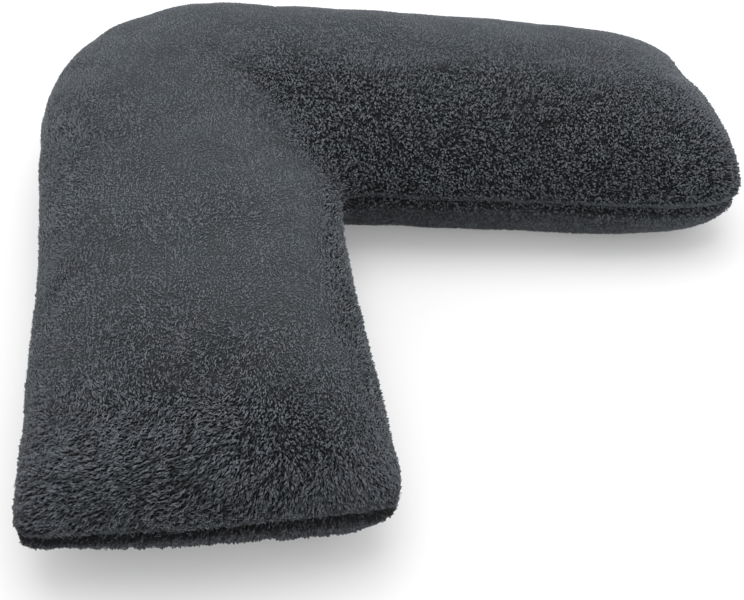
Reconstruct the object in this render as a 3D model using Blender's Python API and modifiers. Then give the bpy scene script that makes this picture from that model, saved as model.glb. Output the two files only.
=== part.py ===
"""V-shaped support pillow: one filled solid in a fleece cover, lying on its flat side.

The pillow is laid out in metres with +Z up. Its two arms open towards -Y and meet in a rounded
bend at +Y. The cover's seam runs all the way round, and the top and the base are two quilts of
faces that share it. Distances in plan are taken from the point where the two outer edges of the
arms would cross; the finished object is moved so that its base is centred on the origin.
"""

import math
from collections import namedtuple

import bmesh
import bpy
from mathutils import Matrix, Vector

# Plan of the seam line, metres.
HALF_ANGLE = math.radians(45.7)      # between each arm and the middle line
ARM_WIDTH = 0.325                    # seam to seam across an arm
BEND_OUTER_RADIUS = 0.188
BEND_INNER_RADIUS = 0.020
BEND_STEPS = 4

# Heights, metres.
BEND_CROWN = 0.157                   # top of the filling at the bend
SEAM_AT_BEND = 0.077

SUBDIVISION_LEVELS = 2
FLEECE_COLOUR = (0.045, 0.050, 0.055, 1.0)
FLEECE_ROUGHNESS = 0.95

# One seam edge of an arm: how far it stands out at the arm's end, how far it is drawn in half
# way along, the height of its end corner, and how far that corner is drawn in.
Edge = namedtuple("Edge", "flare waist end_seam tuck")

# One arm: its side (-1 towards -X, +1 towards +X), the length of its outer edge, how far its
# outer corner lies past a square end, how far the end bulges, its crown, and its two edges.
Arm = namedtuple("Arm", "side length slant bow crown outer inner")
LEFT_ARM = Arm(
    side=-1,
    length=0.714,
    slant=0.012,
    bow=0.006,
    crown=0.152,
    outer=Edge(flare=-0.032, waist=0.012, end_seam=0.070, tuck=0.001),
    inner=Edge(flare=0.040, waist=0.001, end_seam=0.074, tuck=0.014),
)
RIGHT_ARM = Arm(
    side=1,
    length=0.766,
    slant=-0.010,
    bow=0.003,
    crown=0.158,
    outer=Edge(flare=-0.029, waist=0.000, end_seam=0.040, tuck=0.052),
    inner=Edge(flare=0.009, waist=-0.006, end_seam=0.060, tuck=0.038),
)

# Rows across an arm, from its open end to the bend: the share of the straight edge, how full
# the top and the base are there, and how much of the end's tuck and bow is left.
Row = namedtuple("Row", "along top_fullness base_fullness end_share")
ROWS = (
    Row(0.000, 0.00, 0.00, 1.00),
    Row(0.045, 0.81, 0.66, 0.50),
    Row(0.140, 0.85, 0.92, 0.00),
    Row(0.320, 1.00, 1.00, 0.00),
    Row(0.600, 1.00, 1.00, 0.00),
    Row(0.860, 1.00, 1.00, 0.00),
)
FLARE_POWER = 1.5                    # how fast the flare of an arm dies away from its end

# Columns along the pillow, from the outer seam to the inner one: the share of the width, how
# much of the crown the top reaches there, and how far the base has dropped to the floor.
Column = namedtuple("Column", "across top base")
COLUMNS = (
    Column(0.000, 0.00, 0.00),
    Column(0.045, 0.48, 0.84),
    Column(0.140, 0.79, 1.00),
    Column(0.300, 0.97, 1.00),
    Column(0.500, 1.01, 1.00),
    Column(0.700, 0.97, 1.00),
    Column(0.860, 0.79, 1.00),
    Column(0.955, 0.48, 0.50),
    Column(1.000, 0.00, 0.00),
)

# A station is one row of the pillow laid out: its two seam points, how far it bulges endwards,
# its crown and its fullness.
Station = namedtuple("Station", "outer inner bulge crown top_fullness base_fullness")


def clear_scene():
    """Remove whatever objects the scene holds."""
    for obj in list(bpy.data.objects):
        bpy.data.objects.remove(obj, do_unlink=True)


def edge_offset(edge, row):
    """How far an arm's edge stands out from its straight line at a row."""
    flare = edge.flare * (1.0 - row.along) ** FLARE_POWER
    waist = edge.waist * 4.0 * row.along * (1.0 - row.along)
    return flare - waist - edge.tuck * row.end_share


def seam_height(edge, row):
    """Height of the seam on one edge of an arm at a row."""
    return SEAM_AT_BEND + (edge.end_seam - SEAM_AT_BEND) * (1.0 - row.along) ** 2


def arm_stations(arm):
    """Rows of one arm, from its open end towards the bend."""
    along = Vector((arm.side * math.sin(HALF_ANGLE), -math.cos(HALF_ANGLE), 0.0))
    inward = Vector((-arm.side * math.cos(HALF_ANGLE), -math.sin(HALF_ANGLE), 0.0))
    notch = Vector((0.0, -ARM_WIDTH / math.sin(HALF_ANGLE), 0.0))
    outer_end = arm.length + arm.slant
    inner_end = arm.length - ARM_WIDTH / math.tan(HALF_ANGLE) - arm.slant
    outer_start = BEND_OUTER_RADIUS / math.tan(HALF_ANGLE)
    inner_start = BEND_INNER_RADIUS / math.tan(HALF_ANGLE)
    stations = []
    for row in ROWS:
        outer_run = outer_end + (outer_start - outer_end) * row.along
        inner_run = inner_end + (inner_start - inner_end) * row.along
        outer = along * outer_run - inward * edge_offset(arm.outer, row)
        inner = notch + along * inner_run + inward * edge_offset(arm.inner, row)
        outer.z = seam_height(arm.outer, row)
        inner.z = seam_height(arm.inner, row)
        bulge = along * arm.bow * row.end_share
        crown = arm.crown + (BEND_CROWN - arm.crown) * row.along
        row_fullness = (row.top_fullness, row.base_fullness)
        stations.append(Station(outer, inner, bulge, crown, *row_fullness))
    return stations


def bend_stations():
    """Rows round the bend, from the left arm to the right one."""
    outer_centre = Vector((0.0, -BEND_OUTER_RADIUS / math.sin(HALF_ANGLE), SEAM_AT_BEND))
    inner_centre_y = -(ARM_WIDTH + BEND_INNER_RADIUS) / math.sin(HALF_ANGLE)
    inner_centre = Vector((0.0, inner_centre_y, SEAM_AT_BEND))
    first_angle = math.pi - HALF_ANGLE
    stations = []
    for step in range(BEND_STEPS + 1):
        angle = first_angle - (math.pi - 2.0 * HALF_ANGLE) * step / BEND_STEPS
        spoke = Vector((math.cos(angle), math.sin(angle), 0.0))
        outer = outer_centre + spoke * BEND_OUTER_RADIUS
        inner = inner_centre + spoke * BEND_INNER_RADIUS
        stations.append(Station(outer, inner, Vector(), BEND_CROWN, 1.0, 1.0))
    return stations


def pillow_stations():
    """All the rows, from the left arm's end round the bend to the right arm's end."""
    right = arm_stations(RIGHT_ARM)
    right.reverse()
    return arm_stations(LEFT_ARM) + bend_stations() + right


def fullness(along_share, across_share):
    """The lower of two fullnesses, rounded off at a corner where both fall away."""
    if along_share == 0.0 or across_share == 0.0:
        return 0.0
    return (along_share ** -2 + across_share ** -2 - 1.0) ** -0.5


def seam_level_point(station, across):
    """A point between the two seam edges, carried endwards by the row's bulge."""
    return station.outer.lerp(station.inner, across) + station.bulge * 4.0 * across * (1.0 - across)


def top_point(station, column):
    """A point on the top, raised from the seam towards the crown."""
    point = seam_level_point(station, column.across)
    point.z += (station.crown - point.z) * fullness(station.top_fullness, column.top)
    return point


def base_point(station, column):
    """A point on the base, lowered from the seam towards the floor."""
    point = seam_level_point(station, column.across)
    point.z -= point.z * fullness(station.base_fullness, column.base)
    return point


def build_cage(stations):
    """The coarse cage: a top and a base quilt of faces, joined at the seam."""
    cage = bmesh.new()
    last_row = len(stations) - 1
    last_column = len(COLUMNS) - 1
    top = {}
    base = {}
    for i, station in enumerate(stations):
        for j, column in enumerate(COLUMNS):
            top[i, j] = cage.verts.new(top_point(station, column))
            on_seam = i in (0, last_row) or j in (0, last_column)
            base[i, j] = top[i, j] if on_seam else cage.verts.new(base_point(station, column))
    for i in range(last_row):
        for j in range(last_column):
            corners = ((i, j), (i, j + 1), (i + 1, j + 1), (i + 1, j))
            cage.faces.new([top[corner] for corner in corners])
            cage.faces.new([base[corner] for corner in reversed(corners)])
    mesh = bpy.data.meshes.new("pillow")
    cage.to_mesh(mesh)
    cage.free()
    mesh.shade_smooth()
    return mesh


def fleece_material():
    """Plain charcoal fleece."""
    material = bpy.data.materials.new("charcoal_fleece")
    material.use_nodes = True
    shader = material.node_tree.nodes["Principled BSDF"]
    shader.inputs["Base Color"].default_value = FLEECE_COLOUR
    shader.inputs["Roughness"].default_value = FLEECE_ROUGHNESS
    shader.inputs["Metallic"].default_value = 0.0
    return material


def centre_on_origin(obj):
    """Move the finished form so that its base is centred on the origin."""
    bpy.context.view_layer.update()
    smooth = obj.evaluated_get(bpy.context.evaluated_depsgraph_get())
    places = [vertex.co.copy() for vertex in smooth.to_mesh().vertices]
    smooth.to_mesh_clear()
    lowest = Vector([min(place[axis] for place in places) for axis in range(3)])
    highest = Vector([max(place[axis] for place in places) for axis in range(3)])
    middle = (lowest + highest) / 2.0
    obj.data.transform(Matrix.Translation((-middle.x, -middle.y, -lowest.z)))


def build_pillow(collection):
    """The filled solid, smoothed from its cage."""
    pillow = bpy.data.objects.new("pillow", build_cage(pillow_stations()))
    collection.objects.link(pillow)
    pillow.data.materials.append(fleece_material())
    smoothing = pillow.modifiers.new("rounded_form", "SUBSURF")
    smoothing.levels = SUBDIVISION_LEVELS
    smoothing.render_levels = SUBDIVISION_LEVELS
    centre_on_origin(pillow)
    return pillow


def main():
    """Build the pillow in its own collection."""
    clear_scene()
    collection = bpy.data.collections.new("v_shaped_pillow")
    bpy.context.scene.collection.children.link(collection)
    build_pillow(collection)


main()
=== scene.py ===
"""Looks of the V-shaped pillow: a simulated fleece cover under a pile of small curled locks.

The pillow lies on a pale floor and is lit by soft studio light. Everything is in metres, in the
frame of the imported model: +Z up, the bend at +Y, the arms open towards -Y and the base centred
on the origin. The left arm runs from the bend towards -X and -Y, the right arm towards +X and -Y.
"""

import math

import bmesh
import bpy
import numpy as np
from mathutils import Matrix, Vector, noise
from mathutils.kdtree import KDTree


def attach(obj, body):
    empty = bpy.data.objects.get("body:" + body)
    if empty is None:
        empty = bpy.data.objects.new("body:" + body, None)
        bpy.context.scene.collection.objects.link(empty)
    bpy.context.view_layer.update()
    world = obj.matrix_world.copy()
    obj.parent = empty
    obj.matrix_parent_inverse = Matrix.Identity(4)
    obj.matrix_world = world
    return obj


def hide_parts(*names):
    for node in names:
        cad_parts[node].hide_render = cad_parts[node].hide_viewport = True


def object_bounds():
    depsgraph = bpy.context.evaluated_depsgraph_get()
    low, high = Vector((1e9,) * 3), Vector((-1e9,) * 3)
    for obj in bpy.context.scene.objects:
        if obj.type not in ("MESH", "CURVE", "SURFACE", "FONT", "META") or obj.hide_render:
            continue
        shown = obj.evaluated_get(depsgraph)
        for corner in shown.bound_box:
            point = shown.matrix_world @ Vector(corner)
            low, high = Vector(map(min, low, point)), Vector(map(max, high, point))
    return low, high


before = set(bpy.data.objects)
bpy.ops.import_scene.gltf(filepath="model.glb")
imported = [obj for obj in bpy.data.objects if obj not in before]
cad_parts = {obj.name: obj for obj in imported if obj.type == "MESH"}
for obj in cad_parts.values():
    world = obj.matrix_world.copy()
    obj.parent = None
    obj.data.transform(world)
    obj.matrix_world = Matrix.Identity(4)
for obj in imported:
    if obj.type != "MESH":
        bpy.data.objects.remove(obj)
cad_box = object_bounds()
SEED = 20
noise.seed_set(SEED)         # without a seed, vector noise starts from the clock

# Camera, in metres and degrees, its lens and sensor in millimetres. Yaw turns from +Y to +X.
CAMERA_PLACE = Vector((-0.7447, -0.5861, 0.8926))
CAMERA_YAW = 56.4
CAMERA_PITCH = 45.85
CAMERA_ROLL = 8.13
CAMERA_LENS = 56.93
SENSOR_WIDTH = 36.0

# The cover, lengths in metres.
FACE_SIZE = 0.0085           # of the even skin that is simulated, halved afterwards
SWELL = 0.006                # the most the filling may push a point of the cover outwards
SIMULATED_FRAMES = 20
FILLING_PRESSURE = 6.0
SEAM_HALF_WIDTH = 0.006
SEAM_DEPTH = 0.006
SEAM_BREAK = 0.03            # a wider step between two points ends the seam's line
LUMP_HEIGHT = 0.003
BROAD_LUMP = 0.11
SMALL_LUMP = 0.045
FLOOR_CLEARANCE = 0.0025     # height of the cover above the floor, filled by pressed pile

# The pile, lengths in metres.
END_LOCK_SPACING = 0.00155   # between locks at the left arm's ruffled end
CURLY_LOCK_SPACING = 0.0018  # where the pile is curly
FLAT_LOCK_SPACING = 0.0019   # where it is brushed flat
BASE_LOCK_SPACING = 0.0048   # where it is pressed on the floor
LOCK_ROOT_DEPTH = 0.001      # how far a lock's root is sunk in the cover
LOWEST_LOCK = 0.0004         # height above the floor
SEAM_GAP = 0.0014            # no lock stands closer than this to the seam
CLUMP_WIDTH = 0.0022
BROAD_SWIRL = 0.05
SMALL_SWIRL = 0.014
PILE_PIECES = 5
MOST_LOCKS = 214000          # keeps each piece under 200,000 triangles
TRIES_PER_LOCK = 6.0         # enough that nearly every cell gets a lock


def mesh_arrays(mesh):
    """Vertex positions, normals and triangles of a mesh as arrays."""
    count = len(mesh.vertices)
    places = np.empty(count * 3)
    mesh.vertices.foreach_get("co", places)
    normals = np.empty(count * 3)
    mesh.vertices.foreach_get("normal", normals)
    mesh.calc_loop_triangles()
    triangles = np.empty(len(mesh.loop_triangles) * 3, dtype=np.int64)
    mesh.loop_triangles.foreach_get("vertices", triangles)
    return places.reshape(-1, 3), normals.reshape(-1, 3), triangles.reshape(-1, 3)


def set_places(mesh, places):
    """Write vertex positions back to a mesh."""
    mesh.vertices.foreach_set("co", places.astype(np.float32).ravel())
    mesh.update()


def apply_modifiers(obj):
    """Replace the object's mesh by its evaluated one and drop the modifiers."""
    bpy.context.view_layer.update()
    evaluated = obj.evaluated_get(bpy.context.evaluated_depsgraph_get())
    mesh = bpy.data.meshes.new_from_object(evaluated)
    obj.modifiers.clear()
    obj.data = mesh


def unit(vectors):
    """Rows scaled to length one."""
    lengths = np.linalg.norm(vectors, axis=1, keepdims=True)
    return vectors / np.maximum(lengths, 1e-9)


def soft_step(values, start, end):
    """0 before start, 1 after end, smooth between."""
    share = np.clip((values - start) / (end - start), 0.0, 1.0)
    return share * share * (3.0 - 2.0 * share)


def noise_field(places, cell, layer):
    """Smooth vector noise whose features are about one cell across, unlike from layer to layer."""
    shift = Vector((layer * 7.3, layer * 3.1, layer * 5.7))
    return np.array([noise.noise_vector(Vector(p) / cell + shift) for p in places])


def down_left_arm(vectors):
    """How far a place or direction runs along the left arm to its closed end, times root 2."""
    return -(vectors[:, 0] + vectors[:, 1])


def down_right_arm(vectors):
    """How far a place or direction runs along the right arm to its closed end, times root 2."""
    return vectors[:, 0] - vectors[:, 1]


# ---------------------------------------------------------------- cover


def even_skin(cad_object):
    """A closed skin over the CAD solid, of even faces."""
    mesh = cad_object.data.copy()
    welded = bmesh.new()
    welded.from_mesh(mesh)
    bmesh.ops.remove_doubles(welded, verts=welded.verts, dist=1e-5)
    welded.to_mesh(mesh)
    welded.free()
    cover = bpy.data.objects.new("cover", mesh)
    bpy.context.scene.collection.objects.link(cover)
    smooth = cover.modifiers.new("smooth", "SUBSURF")
    smooth.levels = 1
    remesh = cover.modifiers.new("even_faces", "REMESH")
    remesh.mode = "VOXEL"
    remesh.voxel_size = FACE_SIZE
    apply_modifiers(cover)
    return cover


def seam_line(cover):
    """Points round the cover's widest level, where its two panels are sewn together."""
    mesh = cover.data
    places, normals, _ = mesh_arrays(mesh)
    edges = np.empty(len(mesh.edges) * 2, dtype=np.int64)
    mesh.edges.foreach_get("vertices", edges)
    start, end = edges.reshape(-1, 2).T
    tilt_start, tilt_end = normals[start, 2], normals[end, 2]
    crossing = (tilt_start > 0.0) != (tilt_end > 0.0)
    start, end = start[crossing], end[crossing]
    share = tilt_start[crossing] / (tilt_start[crossing] - tilt_end[crossing])
    points = places[start] + (places[end] - places[start]) * share[:, None]
    order = [0]
    left = np.ones(len(points), dtype=bool)
    left[0] = False
    while left.any():
        distances = np.linalg.norm(points - points[order[-1]], axis=1)
        distances[~left] = np.inf
        nearest = int(distances.argmin())
        if distances[nearest] > SEAM_BREAK:
            break
        order.append(nearest)
        left[nearest] = False
    return smooth_loop(points[order])


def smooth_loop(points, spacing=0.0015, passes=40):
    """A closed line resampled to even spacing and smoothed."""
    closed = np.vstack([points, points[:1]])
    run = np.concatenate([[0.0], np.cumsum(np.linalg.norm(np.diff(closed, axis=0), axis=1))])
    steps = np.arange(0.0, run[-1], spacing)
    line = np.stack([np.interp(steps, run, closed[:, axis]) for axis in range(3)], axis=1)
    for _ in range(passes):
        line = 0.5 * line + 0.25 * (np.roll(line, 1, axis=0) + np.roll(line, -1, axis=0))
    return line


def nearest_on(line, places):
    """For each place, the vector from the nearest point of a line."""
    tree = KDTree(len(line))
    for index, point in enumerate(line):
        tree.insert(point, index)
    tree.balance()
    found = np.array([tree.find(place)[0] for place in places])
    return places - found


def simulate_filling(cover, seam):
    """Swell the cover with pressure while its seam is held, as filling does."""
    before, _, _ = mesh_arrays(cover.data)
    from_seam = np.linalg.norm(nearest_on(seam, before), axis=1)
    held = cover.vertex_groups.new(name="seam")
    held.add([int(i) for i in np.nonzero(from_seam < SEAM_HALF_WIDTH)[0]], 1.0, "REPLACE")
    cloth = cover.modifiers.new("filling", "CLOTH")
    settings = cloth.settings
    settings.quality = 5
    settings.mass = 0.3
    settings.tension_stiffness = 12.0
    settings.compression_stiffness = 12.0
    settings.shear_stiffness = 4.0
    settings.bending_stiffness = 2.0
    settings.vertex_group_mass = "seam"
    settings.shrink_min = -0.004
    settings.use_pressure = True
    settings.uniform_pressure_force = FILLING_PRESSURE
    settings.effector_weights.gravity = 0.0
    cloth.point_cache.frame_end = SIMULATED_FRAMES
    for step in range(1, SIMULATED_FRAMES + 1):
        bpy.context.scene.frame_set(step)
    calm = cover.modifiers.new("calm", "SMOOTH")
    calm.factor = 0.5
    calm.iterations = 6
    apply_modifiers(cover)
    bpy.context.scene.frame_set(1)
    after, _, _ = mesh_arrays(cover.data)
    moved = after - before
    length = np.linalg.norm(moved, axis=1, keepdims=True)
    capped = SWELL * np.tanh(length / SWELL)
    set_places(cover.data, before + moved * capped / np.maximum(length, 1e-9))


def finish_cover(cover, seam):
    """Finer faces, the seam's groove, soft lumps of filling and a flat base."""
    finer = cover.modifiers.new("finer", "SUBSURF")
    finer.levels = 1
    apply_modifiers(cover)
    places, normals, _ = mesh_arrays(cover.data)
    from_seam = np.linalg.norm(nearest_on(seam, places), axis=1)
    near_seam = np.exp(-((from_seam / SEAM_HALF_WIDTH) ** 2))
    lumps = noise_field(places, BROAD_LUMP, 3)[:, 0] + 0.5 * noise_field(places, SMALL_LUMP, 4)[:, 0]
    places = places + normals * (LUMP_HEIGHT * lumps - SEAM_DEPTH * near_seam)[:, None]
    places[:, 2] = np.maximum(places[:, 2], FLOOR_CLEARANCE)
    set_places(cover.data, places)
    # The ground's painted shade follows the ruffled share and the seam.
    ruffled = np.maximum(how_ruffled(places, normals), near_seam)
    kept = cover.data.attributes.new("ruffled", "FLOAT", "POINT")
    kept.data.foreach_set("value", ruffled.astype(np.float32))
    cover.data.shade_smooth()


def make_cover():
    """The fleece cover: skin, filling, seam and lumps. Returns it and its seam line."""
    cover = even_skin(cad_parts["pillow"])
    seam = seam_line(cover)
    simulate_filling(cover, seam)
    finish_cover(cover, seam)
    return cover, seam


# ---------------------------------------------------------------- pile


def scatter(places, normals, triangles, spacing, wanted, random):
    """Random points on the wanted triangles, one to a cell of the spacing, with their normals."""
    corners = places[triangles[wanted]]
    sides = np.cross(corners[:, 1] - corners[:, 0], corners[:, 2] - corners[:, 0])
    areas = np.linalg.norm(sides, axis=1) / 2.0
    tries = int(areas.sum() / spacing ** 2 * TRIES_PER_LOCK)
    chosen = random.choice(len(areas), tries, p=areas / areas.sum())
    shares = random.random((tries, 2))
    over = shares.sum(axis=1) > 1.0
    shares[over] = 1.0 - shares[over]
    weights = np.column_stack([1.0 - shares.sum(axis=1), shares])[:, :, None]
    points = (corners[chosen] * weights).sum(axis=1)
    facing = (normals[triangles[wanted][chosen]] * weights).sum(axis=1)
    cells = np.floor(points / (spacing * 1.2)).astype(np.int64)
    _, kept = np.unique(cells, axis=0, return_index=True)
    kept = random.permutation(kept)
    return points[kept], unit(facing[kept])


def parting():
    """The place near the left arm's closed end that the pile is combed away from."""
    low, high = cad_box
    size = high - low
    return np.array([low.x + 0.225 * size.x, low.y + 0.17 * size.y, 0.8 * size.z])


def how_combed(points):
    """1 where the pile is combed away from the parting near the left arm's closed end, else 0."""
    reach = np.linalg.norm(points - parting(), axis=1)
    return soft_step(reach, 0.02, 0.08) * soft_step(down_left_arm(points), 0.42, 0.55)


def how_ruffled(points, facing):
    """0 where the pile is brushed flat to 1 where it stands up with dark gaps; it also sets painted
    shade.

    It stands up on the slopes that face the opening and at the left arm's closed end, less so
    along that end's two edges and on the lower panel.
    """
    across_left_arm = down_right_arm(points) / math.sqrt(2.0)
    inward_facing = down_left_arm(facing) / math.sqrt(2.0)
    right_facing = down_right_arm(facing) / math.sqrt(2.0)
    right_arm = soft_step(points[:, 0], -0.05, 0.10)
    left_end = soft_step(down_left_arm(points), 0.33, 0.58)
    outer_edge = soft_step(-across_left_arm, 0.155, 0.225)
    inner_edge = soft_step(across_left_arm, -0.055, 0.015)
    aside = 0.2 * outer_edge + 0.45 * inner_edge
    ruffled = soft_step(inward_facing + 0.08 * right_arm, -0.14, 0.46)
    ruffled *= 1.0 - 0.6 * soft_step(-facing[:, 2], -0.05, 0.2)
    ruffled = np.maximum(ruffled, 0.75 * soft_step(right_facing, 0.45, 0.85))
    ruffled = np.maximum(ruffled, 0.4 * soft_step(-facing[:, 2], -0.75, -0.2))
    return np.maximum(ruffled, 0.85 * left_end) * (1.0 - left_end * aside)


def lay_directions(points, facing, combed):
    """The way the pile lies: away from the parting where combed, elsewhere down with swirls."""
    outward = unit(points - parting())
    towards_opening = -np.ones(len(points))
    nap = np.stack([np.tanh(points[:, 0] / 0.1), towards_opening, np.zeros(len(points))], axis=1)
    swirl = noise_field(points, BROAD_SWIRL, 1) + 0.7 * noise_field(points, SMALL_SWIRL, 2)
    combed = combed[:, None]
    free = 1.0 - combed
    way = 1.1 * outward * combed + 0.4 * unit(nap) * free + swirl * (0.5 + 0.5 * free)
    way[:, 2] -= 0.2
    way -= facing * (way * facing).sum(axis=1)[:, None]
    return unit(way)


def clumping(points, way, combed):
    """How high the pile stands, -1 in the gaps to 1 on the clumps, in streaks along its lay."""
    reach = (0.0008 + 0.0020 * combed)[:, None]
    total = np.zeros(len(points))
    for step in (-1.0, -0.5, 0.0, 0.5, 1.0):
        sampled = (points + way * reach * step) / CLUMP_WIDTH
        total += np.array([noise.noise(Vector(p)) for p in sampled])
    return np.clip(total / (1.1 + 0.5 * (1.0 - combed)), -1.0, 1.0)


def lock_vertices(points, facing, way, random, length, width, rise, ridge):
    """Five points a lock: its root, the left, right and top of its bend, and its tip."""
    count = len(points)
    way = unit(way - facing * (way * facing).sum(axis=1)[:, None])
    side = np.cross(facing, way)
    long = (length * random.uniform(0.75, 1.25, count))[:, None]
    wide = (width * random.uniform(0.8, 1.2, count))[:, None]
    high = (rise * random.uniform(0.8, 1.2, count))[:, None]
    curl = random.normal(0.0, 0.2, count)[:, None] * long
    root = points - facing * LOCK_ROOT_DEPTH
    bend = points + way * long * 0.42 + facing * high + side * curl * 0.6
    tip = points + way * long + facing * high * 0.5 - side * curl * 0.3
    left = bend + side * wide * 0.5
    right = bend - side * wide * 0.5
    top = bend + facing * ridge[:, None]
    return np.stack([root, left, right, top, tip], axis=1)


# A lock's faces, two from its root to its bend and two on to its tip; how far each of its points
# lies from root to tip, which sets the painted shade at its root; and the place of each face's
# corners in the lock's UV cell.
LOCK_POINTS = 5
LOCK_FACES = np.array(((0, 3, 1), (0, 2, 3), (4, 1, 3), (4, 3, 2)))
LOCK_ALONG = (0.0, 0.2, 0.2, 0.85, 1.0)
LOCK_LAYOUT = np.array(
    (
        ((0.50, 0.03), (0.50, 0.50), (0.05, 0.50)),
        ((0.50, 0.03), (0.95, 0.50), (0.50, 0.50)),
        ((0.50, 0.97), (0.05, 0.53), (0.50, 0.53)),
        ((0.50, 0.97), (0.50, 0.53), (0.95, 0.53)),
    )
)


def build_pile(name, vertices, tones, along_starts, soft_normals):
    """One mesh of many locks, each with its own UV cell, its own tone and softened normals."""
    count = len(vertices)
    starts = np.arange(count)[:, None] * LOCK_POINTS
    corners = starts + LOCK_FACES.ravel()
    mesh = bpy.data.meshes.new(name)
    mesh.vertices.add(count * LOCK_POINTS)
    mesh.vertices.foreach_set("co", vertices.astype(np.float32).ravel())
    mesh.loops.add(corners.size)
    mesh.loops.foreach_set("vertex_index", corners.astype(np.int32).ravel())
    mesh.polygons.add(corners.size // 3)
    mesh.polygons.foreach_set("loop_start", np.arange(0, corners.size, 3, dtype=np.int32))
    mesh.update(calc_edges=True)
    mesh.shade_smooth()
    cells = math.ceil(math.sqrt(count))
    column, row = np.arange(count) % cells, np.arange(count) // cells
    uv = LOCK_LAYOUT.reshape(-1, 2)[None] + np.stack([column, row], axis=1)[:, None]
    mesh.uv_layers.new(name="OFBake").data.foreach_set("uv", (uv / cells).ravel())
    # The tone: random variation with painted shade and painted highlights.
    tone = mesh.attributes.new("tone", "FLOAT", "POINT")
    tone.data.foreach_set("value", np.repeat(tones, LOCK_POINTS).astype(np.float32))
    own = np.empty(count * LOCK_POINTS * 3)
    mesh.vertices.foreach_get("normal", own)
    shared = np.repeat(soft_normals, LOCK_POINTS, axis=0)
    mesh.normals_split_custom_set_from_vertices(unit(own.reshape(-1, 3) + shared))
    # Each point's share along its lock, which sets the painted shade at the root.
    along = mesh.attributes.new("along", "FLOAT", "POINT")
    values = np.maximum(np.array(LOCK_ALONG), along_starts[:, None])
    along.data.foreach_set("value", values.astype(np.float32).ravel())
    pile = bpy.data.objects.new(name, mesh)
    bpy.context.scene.collection.objects.link(pile)
    return pile


def mean_tones(points, facing, away, ruffled, curly):
    """The locks' tone before their own variation, 0 dark to 1 light.

    Painted shade dims it in the seam, under the seam beside the opening and where the pile is
    ruffled; it is lighter at the right arm's closed end and at the back.
    """
    down_left, down_right = down_left_arm(points), down_right_arm(points)
    from_seam = np.linalg.norm(away, axis=1)
    left_tip = soft_step(down_left, 0.4, 0.55)
    right_tip = soft_step(down_right, 0.48, 0.62)
    # Painted shadow along the seam, wider and stronger towards the left arm's closed end.
    painted_seam_shadow = (0.6 + 0.2 * left_tip) * np.exp(-((from_seam / (0.005 + 0.003 * left_tip)) ** 2))
    # Painted shade on the lower panel under the seam, on the side facing the opening, less towards
    # the right arm's closed end.
    painted_shade_below_seam = soft_step(-away[:, 2], -0.002, 0.022)
    painted_shade_below_seam *= soft_step(down_left_arm(facing), 0.1, 0.6)
    painted_shade_below_seam *= 1.0 - 0.7 * soft_step(down_right, 0.2, 0.6)
    back = (1.0 - soft_step(down_left, 0.0, 0.3)) * (1.0 - ruffled)
    # Painted shade: the seam's shadow, the shade under it, and dimmer ruffled and curly pile.
    painted_shade = 0.24 * ruffled + 0.06 * curly + painted_seam_shadow + 0.28 * painted_shade_below_seam
    lighter = 0.14 * right_tip + 0.06 * back
    return 0.65 - painted_shade + lighter


def pile_zones(places, normals, triangles, random):
    """For each kind of pile: the spacing of its locks, its triangles and its locks' stretch."""
    middle = places[triangles].mean(axis=1)
    facing = normals[triangles].mean(axis=1)
    on_floor = (facing[:, 2] < -0.8) & (middle[:, 2] < 0.012)
    ruffled = how_ruffled(middle, facing)
    deep = ruffled + random.normal(0.0, 0.08, len(ruffled)) > 0.35
    deep &= middle[:, 2] > 0.03
    at_end = down_left_arm(middle) > 0.25
    return (
        (END_LOCK_SPACING, deep & at_end & ~on_floor, 0.85),
        (CURLY_LOCK_SPACING, deep & ~at_end & ~on_floor, 1.0),
        (FLAT_LOCK_SPACING, ~deep & ~on_floor, 1.0),
        (BASE_LOCK_SPACING, on_floor, 1.7),
    )


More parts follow.
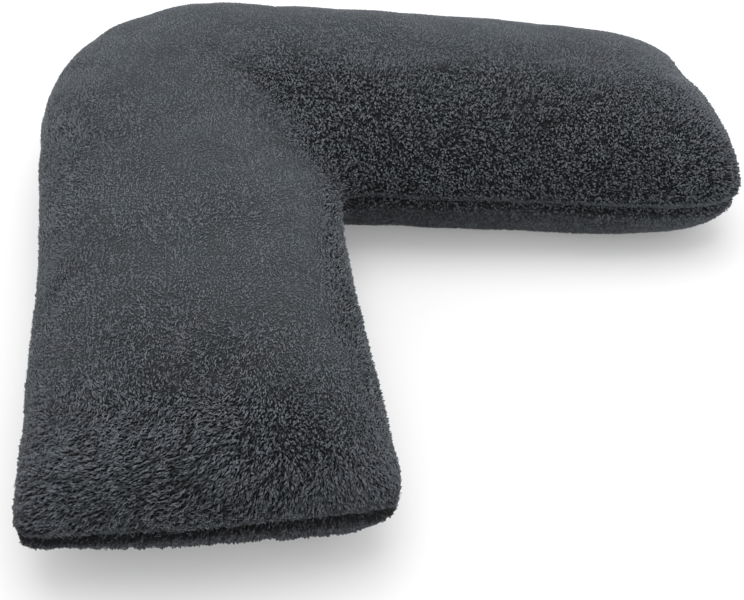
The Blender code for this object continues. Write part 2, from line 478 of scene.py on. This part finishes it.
def make_pile(cover, seam):
    """The fleece's locks, in several meshes that each cover the whole pillow."""
    random = np.random.default_rng(SEED)
    places, normals, triangles = mesh_arrays(cover.data)
    locks = []
    tones = []
    along_starts = []
    soft_normals = []
    for spacing, wanted, stretch in pile_zones(places, normals, triangles, random):
        points, facing = scatter(places, normals, triangles, spacing, np.nonzero(wanted)[0], random)
        away = nearest_on(seam, points)
        from_seam = np.linalg.norm(away, axis=1)
        clear = from_seam > SEAM_GAP
        points, facing, away, from_seam = points[clear], facing[clear], away[clear], from_seam[clear]
        combed = how_combed(points)
        ruffled = how_ruffled(points, facing)
        curly = ruffled * (1.0 - combed)
        way = lay_directions(points, facing, combed)
        clump = clumping(points, way, combed)
        pull = np.exp(-((from_seam / SEAM_HALF_WIDTH) ** 2))[:, None]
        way = unit(way * (1.0 - pull) + unit(away) * pull * 1.5)
        way = unit(way + random.normal(0.0, 0.2, points.shape) * (1.0 + 2.0 * curly)[:, None])
        length = (0.0026 + 0.0034 * combed + 0.0009 * curly) * stretch
        width = (0.0014 + 0.0003 * combed + 0.0005 * curly) * stretch
        rise = (0.0010 + 0.0012 * ruffled) * (1.0 + (0.3 + 0.6 * ruffled) * clump) / stretch
        ridge = (0.0005 + 0.0005 * ruffled) * stretch
        locks.append(lock_vertices(points, facing, way, random, length, width, rise, ridge))
        # A lock's tone: random stray variation, painted shade in the gaps between clumps and painted
        # highlights on their tops, and the painted shade of mean_tones.
        stray = random.uniform(-0.16, 0.16, len(points)) * (1.0 + 0.6 * ruffled + 0.7 * combed)
        painted_clump_shading = 0.08 + 0.46 * ruffled * (1.0 - 0.3 * combed)
        tones.append(mean_tones(points, facing, away, ruffled, curly) + painted_clump_shading * clump + stray)
        # Where the pile lies flat its locks take less painted shade at the root.
        along_starts.append(0.4 * (1.0 - ruffled))
        soft_normals.append(facing * (1.2 - 0.8 * ruffled)[:, None])
    locks = np.concatenate(locks)
    tones = np.concatenate(tones)
    along_starts = np.concatenate(along_starts)
    soft_normals = np.concatenate(soft_normals)
    locks[:, :, 2] = np.maximum(locks[:, :, 2], LOWEST_LOCK)
    shuffled = random.permutation(len(locks))[:MOST_LOCKS]
    parts = [shuffled[index::PILE_PIECES] for index in range(PILE_PIECES)]
    return [
        build_pile(
            f"pile_{index + 1}", locks[part], tones[part], along_starts[part], soft_normals[part]
        )
        for index, part in enumerate(parts)
    ]


# ---------------------------------------------------------------- materials


def new_material(name):
    """A material with its node tree and shader."""
    material = bpy.data.materials.new(name)
    material.use_nodes = True
    tree = material.node_tree
    return material, tree, tree.nodes["Principled BSDF"]


def add_node(tree, kind, **settings):
    """A new node with its settings."""
    node = tree.nodes.new(kind)
    for key, value in settings.items():
        setattr(node, key, value)
    return node


def noise_node(tree, scale, detail=3.0):
    """Noise on object coordinates, with features of about 1/scale metres."""
    where = add_node(tree, "ShaderNodeTexCoord")
    texture = add_node(tree, "ShaderNodeTexNoise")
    texture.inputs["Scale"].default_value = scale
    texture.inputs["Detail"].default_value = detail
    tree.links.new(where.outputs["Object"], texture.inputs["Vector"])
    return texture.outputs["Fac"]


def ramp(tree, value, stops):
    """A colour ramp over a value."""
    node = add_node(tree, "ShaderNodeValToRGB")
    elements = node.color_ramp.elements
    while len(elements) < len(stops):
        elements.new(0.5)
    for element, (position, colour) in zip(elements, stops):
        element.position = position
        element.color = (*colour, 1.0)
    tree.links.new(value, node.inputs["Fac"])
    return node.outputs["Color"]


def multiply(tree, first, second):
    """Two colours multiplied."""
    node = add_node(tree, "ShaderNodeMix", data_type="RGBA", blend_type="MULTIPLY")
    node.inputs["Factor"].default_value = 1.0
    tree.links.new(first, node.inputs[6])
    tree.links.new(second, node.inputs[7])
    return node.outputs[2]


def pile_material():
    """Matte charcoal fibre, painted shade at its root and lighter at its tip, uneven in tone and
    hue.
    """
    material, tree, shader = new_material("fleece_pile")
    charcoals = (
        (0.38, (0.061, 0.065, 0.069)),
        (0.50, (0.059, 0.065, 0.069)),
        (0.62, (0.058, 0.066, 0.069)),
    )
    # The tone's ramp: the random tone, painted shade at the low end and painted highlights on lock
    # tops at the high end.
    tone_with_painted_light = (
        (0.0, (0.05, 0.04, 0.06)),
        (0.5, (0.81, 0.79, 0.83)),
        (1.0, (1.92, 1.88, 1.95)),
    )
    # Painted shade, strongest at a lock's root and fading towards its tip.
    painted_root_shade = (
        (0.0, (0.30, 0.27, 0.32)),
        (0.5, (0.94, 0.95, 0.97)),
        (1.0, (1.27, 1.31, 1.33)),
    )
    hue = ramp(tree, noise_node(tree, 22.0), charcoals)
    tone = add_node(tree, "ShaderNodeAttribute", attribute_name="tone")
    along = add_node(tree, "ShaderNodeAttribute", attribute_name="along")
    shade = ramp(tree, tone.outputs["Fac"], tone_with_painted_light)
    painted_depth_shade = ramp(tree, along.outputs["Fac"], painted_root_shade)
    tree.links.new(multiply(tree, multiply(tree, hue, shade), painted_depth_shade), shader.inputs["Base Color"])
    fibres = noise_node(tree, 900.0, 2.0)
    rough = add_node(tree, "ShaderNodeMapRange")
    rough.inputs["To Min"].default_value = 0.62
    rough.inputs["To Max"].default_value = 0.9
    tree.links.new(fibres, rough.inputs["Value"])
    tree.links.new(rough.outputs["Result"], shader.inputs["Roughness"])
    bump = add_node(tree, "ShaderNodeBump")
    bump.inputs["Strength"].default_value = 0.35
    bump.inputs["Distance"].default_value = 0.0006
    tree.links.new(fibres, bump.inputs["Height"])
    tree.links.new(bump.outputs["Normal"], shader.inputs["Normal"])
    shader.inputs["Specular IOR Level"].default_value = 0.25
    shader.inputs["Sheen Weight"].default_value = 0.12
    shader.inputs["Sheen Roughness"].default_value = 0.5
    shader.inputs["Sheen Tint"].default_value = (0.75, 0.80, 0.85, 1.0)
    return material


def cover_material():
    """The knitted ground under the pile, with painted shade, most where the pile is ruffled and in
    the seam.
    """
    material, tree, shader = new_material("fleece_ground")
    grain = noise_node(tree, 650.0)
    colour = ramp(tree, grain, ((0.35, (0.045, 0.050, 0.053)), (0.65, (0.070, 0.077, 0.081))))
    ruffled = add_node(tree, "ShaderNodeAttribute", attribute_name="ruffled")
    # Painted shade on the ground where the pile is ruffled and in the seam.
    painted_depth_shade = ramp(tree, ruffled.outputs["Fac"], ((0.0, (1.0,) * 3), (0.6, (0.16, 0.15, 0.16))))
    tree.links.new(multiply(tree, colour, painted_depth_shade), shader.inputs["Base Color"])
    shader.inputs["Roughness"].default_value = 0.95
    shader.inputs["Specular IOR Level"].default_value = 0.1
    bump = add_node(tree, "ShaderNodeBump")
    bump.inputs["Strength"].default_value = 0.6
    bump.inputs["Distance"].default_value = 0.002
    tree.links.new(grain, bump.inputs["Height"])
    tree.links.new(bump.outputs["Normal"], shader.inputs["Normal"])
    return material


# ---------------------------------------------------------------- studio


def make_floor():
    """A plain pale floor."""
    mesh = bpy.data.meshes.new("floor")
    half = 30.0
    corners = [(-half, -half, 0), (half, -half, 0), (half, half, 0), (-half, half, 0)]
    mesh.from_pydata(corners, [], [(0, 1, 2, 3)])
    floor = bpy.data.objects.new("floor", mesh)
    bpy.context.scene.collection.objects.link(floor)
    material, _, shader = new_material("floor_white")
    shader.inputs["Base Color"].default_value = (0.57, 0.57, 0.57, 1.0)
    shader.inputs["Emission Color"].default_value = (1.0, 1.0, 1.0, 1.0)
    shader.inputs["Emission Strength"].default_value = 0.21
    shader.inputs["Roughness"].default_value = 0.9
    shader.inputs["Specular IOR Level"].default_value = 0.1
    mesh.materials.append(material)


def add_area_light(name, place, target, size, power, colour):
    """A soft square lamp at a place, facing a target."""
    lamp = bpy.data.lights.new(name, "AREA")
    lamp.shape = "SQUARE"
    lamp.size = size
    lamp.energy = power
    lamp.color = colour
    holder = bpy.data.objects.new(name, lamp)
    holder.location = place
    holder.rotation_euler = (Vector(target) - Vector(place)).to_track_quat("-Z", "Y").to_euler()
    bpy.context.scene.collection.objects.link(holder)


def light_studio():
    """A broad lamp above and behind, over an even white surround."""
    world = bpy.data.worlds.new("studio")
    world.use_nodes = True
    background = world.node_tree.nodes["Background"]
    background.inputs["Color"].default_value = (1.0, 1.0, 1.0, 1.0)
    background.inputs["Strength"].default_value = 1.15
    bpy.context.scene.world = world
    add_area_light("key", (0.1, 0.4, 3.0), (0.0, 0.0, 0.0), 2.4, 60.0, (1.0, 1.0, 1.0))
    bpy.context.scene.view_settings.view_transform = "Standard"


def add_camera():
    """The camera, turned by yaw, pitch and roll."""
    yaw, pitch, roll = (math.radians(a) for a in (CAMERA_YAW, CAMERA_PITCH, CAMERA_ROLL))
    forward = Vector(
        (math.sin(yaw) * math.cos(pitch), math.cos(yaw) * math.cos(pitch), -math.sin(pitch))
    )
    level = forward.cross(Vector((0.0, 0.0, 1.0))).normalized()
    upright = level.cross(forward)
    right = level * math.cos(roll) + upright * math.sin(roll)
    up = upright * math.cos(roll) - level * math.sin(roll)
    data = bpy.data.cameras.new("camera")
    data.lens = CAMERA_LENS
    data.sensor_width = SENSOR_WIDTH
    camera = bpy.data.objects.new("camera", data)
    turn = Matrix((right, up, -forward)).transposed().to_4x4()
    camera.matrix_world = Matrix.Translation(CAMERA_PLACE) @ turn
    bpy.context.scene.collection.objects.link(camera)
    bpy.context.scene.camera = camera


def main():
    """Build the cover, the pile and the studio."""
    add_camera()
    light_studio()
    make_floor()
    cover, seam = make_cover()
    cover.data.materials.clear()
    cover.data.materials.append(cover_material())
    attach(cover, "root")
    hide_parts("pillow")
    fibre = pile_material()
    for pile in make_pile(cover, seam):
        pile.data.materials.append(fibre)
        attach(pile, "root")


main()
